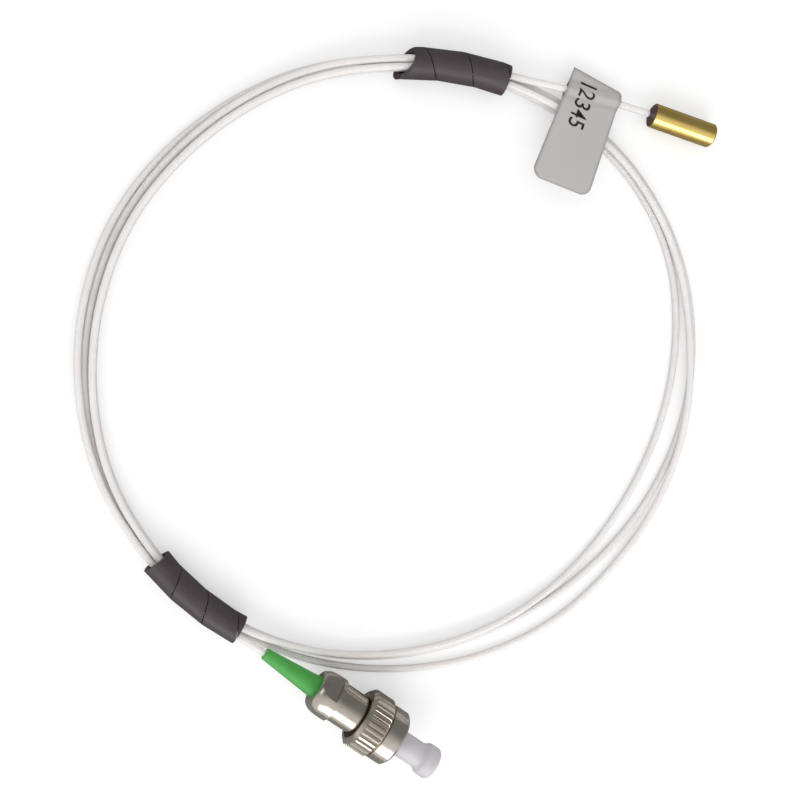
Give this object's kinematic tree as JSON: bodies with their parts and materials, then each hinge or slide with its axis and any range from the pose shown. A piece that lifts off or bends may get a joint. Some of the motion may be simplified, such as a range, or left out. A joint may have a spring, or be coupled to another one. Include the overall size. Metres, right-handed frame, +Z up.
{
  "type": "fibre collimator",
  "caption": "Small gold-plated fibre collimator on a coiled loose-tube lead held by spiral wraps, with a flag label and a capped threaded connector at the far end.",
  "frame": {"origin": "on the resting surface, under the middle of the collimator's length", "axes": "+X along the collimator towards the beam side, +Z up from the resting surface"},
  "size_m": [0.0985, 0.1141, 0.0102],
  "materials": {
    "gold_plate": "bright gold plate on brass",
    "clear_glass": "polished optical glass",
    "epoxy": "cured dark epoxy",
    "loose_tube": "natural translucent plastic tube",
    "wrap": "smoke grey plastic spiral wrap",
    "label_film": "grey plastic label film",
    "boot": "green moulded rubber",
    "nickel_plate": "nickel plate on brass",
    "ceramic": "polished white ceramic",
    "spring_steel": "drawn spring wire",
    "cap": "milky soft plastic"
  },
  "bodies": {
    "collimator_and_lead": {"collimator_tube": "gold_plate", "glass_sleeve": "clear_glass", "grin_lens": "clear_glass", "fibre_capillary": "clear_glass", "lens_fibre": "clear_glass", "rear_epoxy": "epoxy", "collimator_lead": "loose_tube", "fibre_coil": "loose_tube", "connector_lead": "loose_tube", "upper_wrap": "wrap", "lower_wrap": "wrap", "flag_label": "label_film", "boot": "boot", "crimp_tube": "nickel_plate", "rear_body": "nickel_plate", "connector_frame": "nickel_plate", "ferrule_spring": "spring_steel"},
    "nut": {"coupling_nut": "nickel_plate"},
    "ferrule": {"ferrule": "ceramic", "ferrule_flange": "nickel_plate", "connector_fibre": "clear_glass"},
    "cap": {"dust_cap": "cap"}
  },
  "joints": [
    {"name": "nut_spin", "type": "hinge", "parent": "collimator_and_lead", "child": "nut", "pos_m": [-0.02378, -0.1037, 0.00494], "axis": [0.9333, -0.3527, 0.068], "continuous": true},
    {"name": "ferrule_slide", "type": "slide", "parent": "collimator_and_lead", "child": "ferrule", "axis": [0.9333, -0.3527, 0.068], "range_m": [-0.0009, 0], "stiffness_N_per_m": 1500, "springref_m": 0.003, "deforming": ["ferrule_spring"]},
    {"name": "cap_slide", "type": "slide", "parent": "collimator_and_lead", "child": "cap", "axis": [0.9333, -0.3527, 0.068], "range_m": [0, 0.012]}
  ]
}
